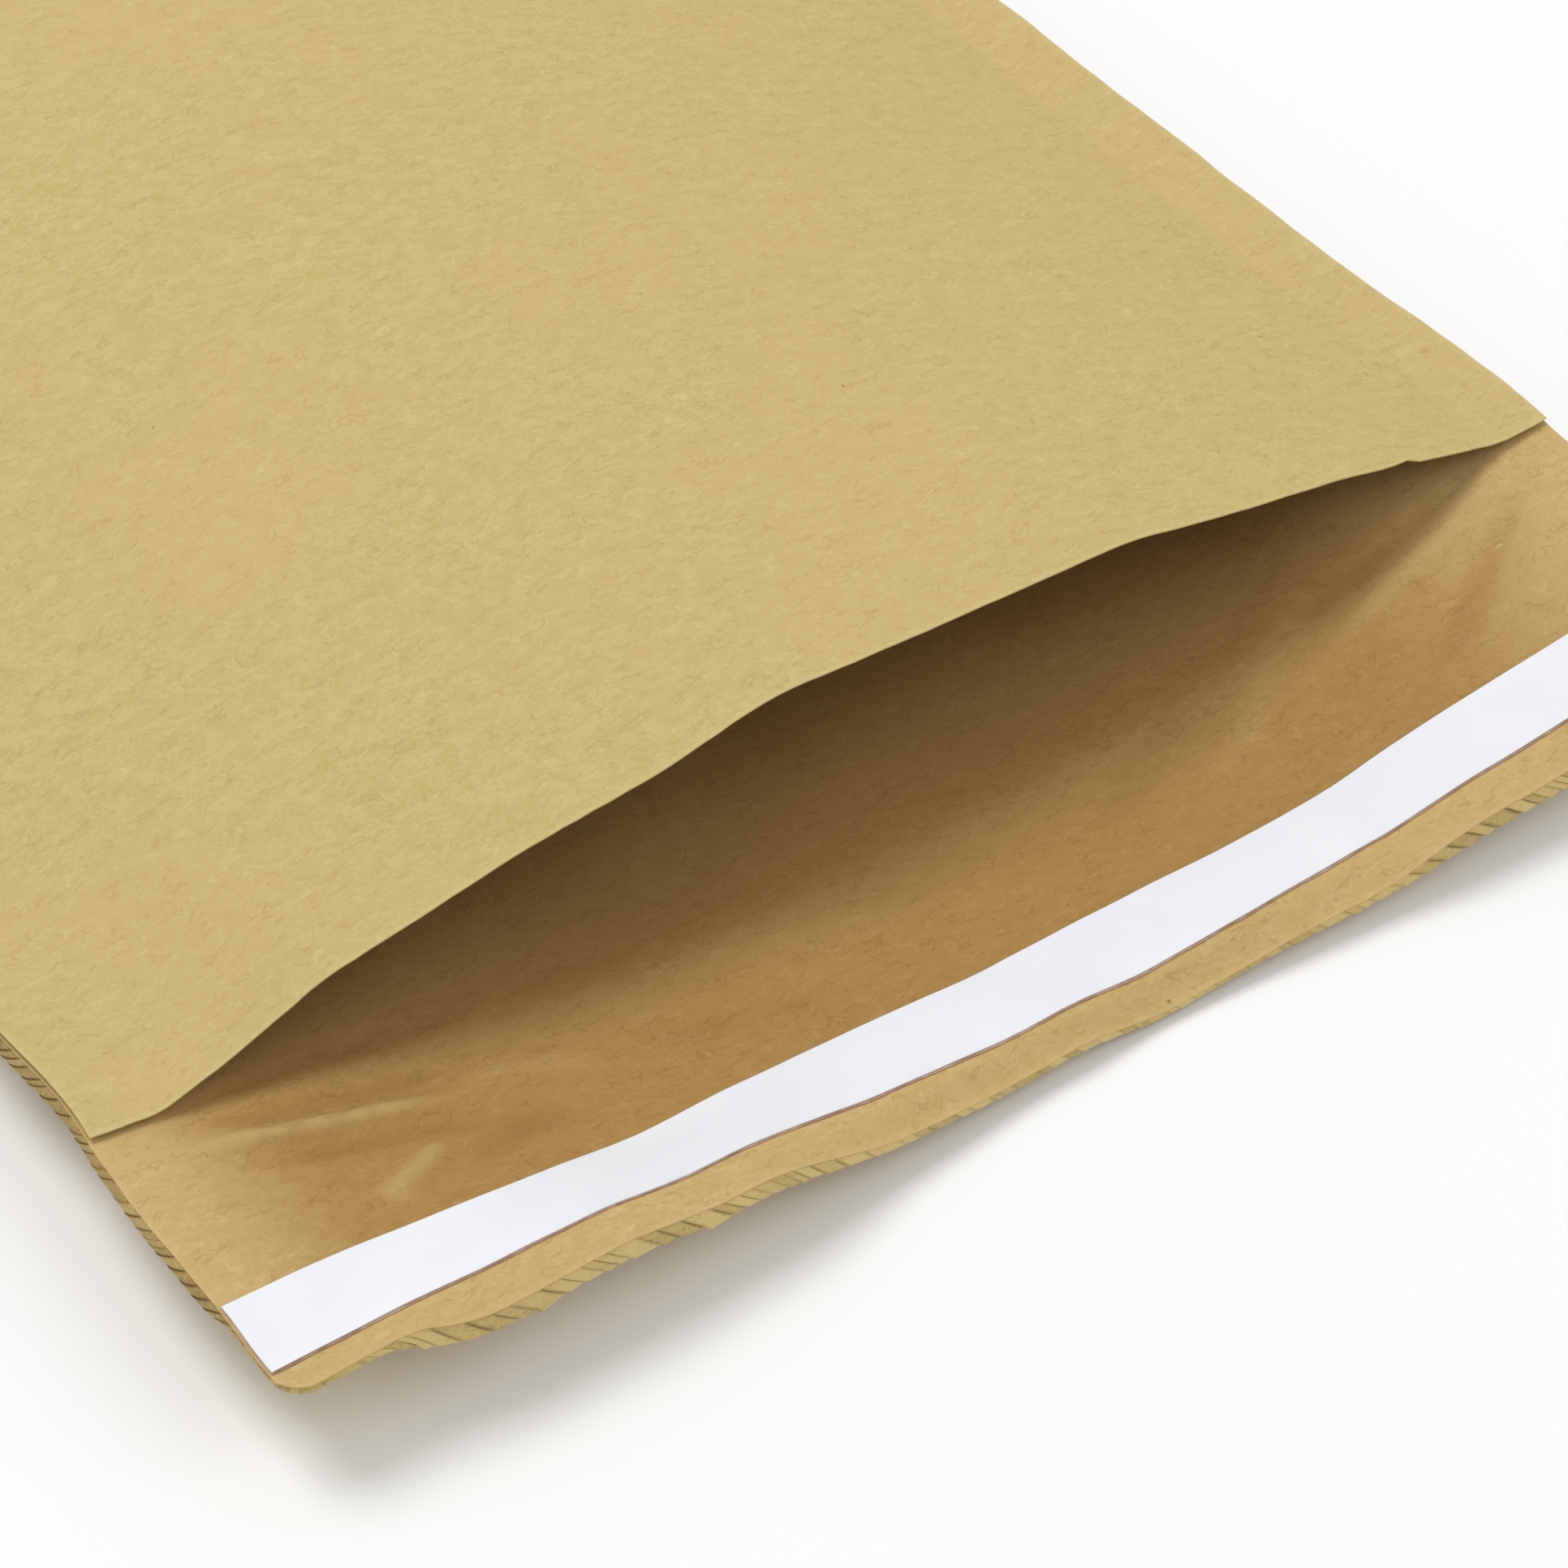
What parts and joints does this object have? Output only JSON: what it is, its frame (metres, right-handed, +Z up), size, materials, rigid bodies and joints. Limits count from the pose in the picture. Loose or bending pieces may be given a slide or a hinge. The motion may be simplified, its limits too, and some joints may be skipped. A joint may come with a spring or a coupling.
{
  "type": "padded envelope",
  "caption": "Padded kraft paper envelope lying open: a flat pocket glued along both sides, slit-paper padding between two plies, and a flap with a self-seal strip under a white release liner.",
  "frame": {"origin": "bottom centre of the envelope's bounding box, on the surface it lies on", "axes": "+X across the width to the right seam, +Y to the closed end, +Z up; the mouth and flap face -Y"},
  "size_m": [0.22, 0.349, 0.0299],
  "materials": {
    "outer_kraft": "matte golden kraft, fine fibre mottling",
    "padding_paper": "slit and expanded pulp paper, raw cut edges",
    "inner_kraft": "matte brown kraft, soft creases",
    "seam_glue": "dried clear-amber glue",
    "closure_adhesive": "tacky purple-brown film",
    "release_paper": "smooth white silicone-coated paper"
  },
  "bodies": {
    "root": {"outer_sheet": "outer_kraft", "padding_sheet": "padding_paper", "inner_liner": "inner_kraft", "seam_glue_left": "seam_glue", "seam_glue_right": "seam_glue", "closure_adhesive": "closure_adhesive", "release_liner": "release_paper"}
  },
  "joints": []
}
